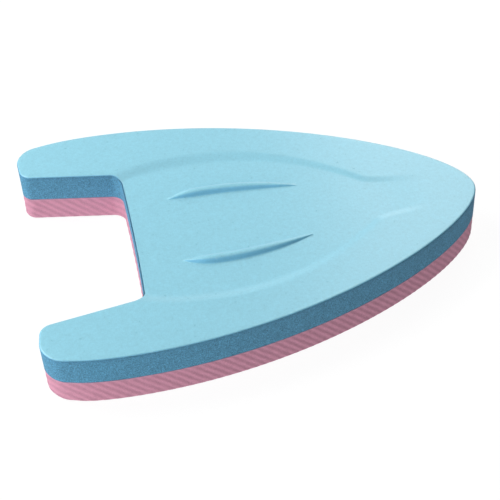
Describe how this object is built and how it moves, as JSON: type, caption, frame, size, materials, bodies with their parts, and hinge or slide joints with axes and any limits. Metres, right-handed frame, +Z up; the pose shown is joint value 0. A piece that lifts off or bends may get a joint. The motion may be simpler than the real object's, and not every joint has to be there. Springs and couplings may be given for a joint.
{
  "type": "kickboard float",
  "caption": "Boat-shaped foam kickboard with a pointed nose, a square rear notch between rounded arms, a sunken panel and raised finger ridges on top.",
  "frame": {"origin": "middle of the board's bounding box in plan, at the height of the flat underside", "axes": "+X towards the pointed nose, +Y across the board towards one arm, +Z up, out of the face with the sunken panel"},
  "size_m": [0.4, 0.2894, 0.0516],
  "materials": {
    "blue_foam": "matt closed-cell foam with a fine linen grain",
    "adhesive": "thin set contact adhesive, satin",
    "pink_foam": "matt closed-cell foam with fine diagonal ribs"
  },
  "bodies": {
    "root": {"top_foam": "blue_foam", "bond_film": "adhesive", "bottom_foam": "pink_foam"}
  },
  "joints": []
}
